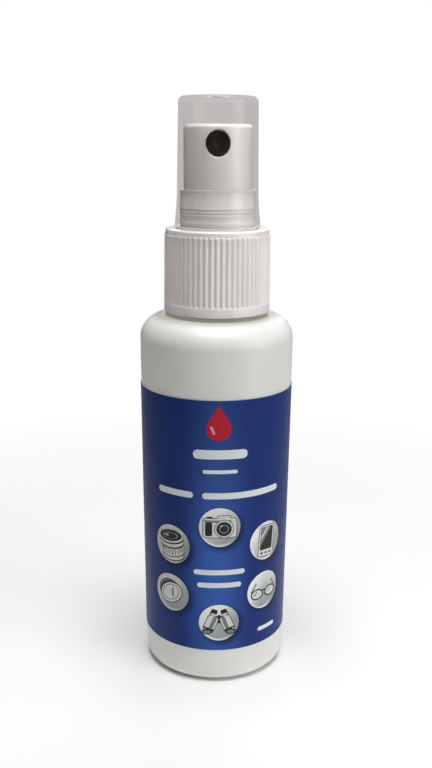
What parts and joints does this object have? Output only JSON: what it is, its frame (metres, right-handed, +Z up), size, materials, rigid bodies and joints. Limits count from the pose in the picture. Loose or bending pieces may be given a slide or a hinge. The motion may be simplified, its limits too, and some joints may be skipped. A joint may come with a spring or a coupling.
{
  "type": "lens cleaning spray",
  "caption": "Small round plastic bottle with a screw closure, a fine-mist finger pump, a frosted overcap and a wrap-around label, for cleaning lenses.",
  "frame": {"origin": "centre of the bottle's base, on the plane it stands on", "axes": "+Z up the bottle's axis, the nozzle and the middle of the label face -Y, +X to the right seen from the front"},
  "size_m": [0.0328, 0.0328, 0.1235],
  "materials": {
    "bottle_white": "satin white polyethylene",
    "label_film": "satin blue printed film",
    "closure_white": "satin white polypropylene",
    "pump_natural": "natural polypropylene",
    "gasket": "grey elastomer",
    "spring_steel": "drawn stainless wire",
    "ball": "polished glass",
    "tube_clear": "translucent polyethylene",
    "nozzle_black": "black acetal",
    "overcap_frosted": "frosted translucent polypropylene",
    "liquid": "clear liquid"
  },
  "bodies": {
    "bottle": {"bottle": "bottle_white", "label": "label_film", "cleaning_fluid": "liquid"},
    "pump": {"pump_housing": "pump_natural", "lock_ring": "pump_natural", "gasket": "gasket", "dip_tube": "tube_clear", "main_spring": "spring_steel"},
    "closure": {"closure": "closure_white"},
    "overcap": {"overcap": "overcap_frosted"},
    "plunger": {"upper_stem": "pump_natural", "lower_stem": "pump_natural", "precompression_spring": "spring_steel"},
    "spray_head": {"actuator": "closure_white", "nozzle_insert": "nozzle_black"},
    "piston": {"piston": "pump_natural"},
    "check_ball": {"check_ball": "ball"}
  },
  "joints": [
    {"name": "pump_rise", "type": "slide", "parent": "bottle", "child": "pump", "axis": [0, 0, 1], "range_m": [0, 0.00476]},
    {"name": "closure_turn", "type": "hinge", "parent": "pump", "child": "closure", "pos_m": [0, 0, 0.08215], "axis": [0, 0, 1], "range_deg": [0, 540]},
    {"name": "overcap_lift", "type": "slide", "parent": "closure", "child": "overcap", "axis": [0, 0, 1], "range_m": [0, 0.022]},
    {"name": "actuator_press", "type": "slide", "parent": "pump", "child": "plunger", "axis": [0, 0, -1], "range_m": [0, 0.004], "stiffness_N_per_m": 400, "springref_m": -0.004, "deforming": ["main_spring"]},
    {"name": "actuator_turn", "type": "hinge", "parent": "plunger", "child": "spray_head", "pos_m": [0, 0, 0.1044], "axis": [0, 0, 1], "continuous": true},
    {"name": "piston_lag", "type": "slide", "parent": "plunger", "child": "piston", "axis": [0, 0, 1], "range_m": [0, 0.0006], "deforming": ["precompression_spring"]},
    {"name": "ball_lift", "type": "slide", "parent": "pump", "child": "check_ball", "axis": [0, 0, 1], "range_m": [0, 0.0008]}
  ],
  "couplings": [
    {"joint": "closure_turn", "follows": "pump_rise", "rad_per_m": 1979}
  ]
}
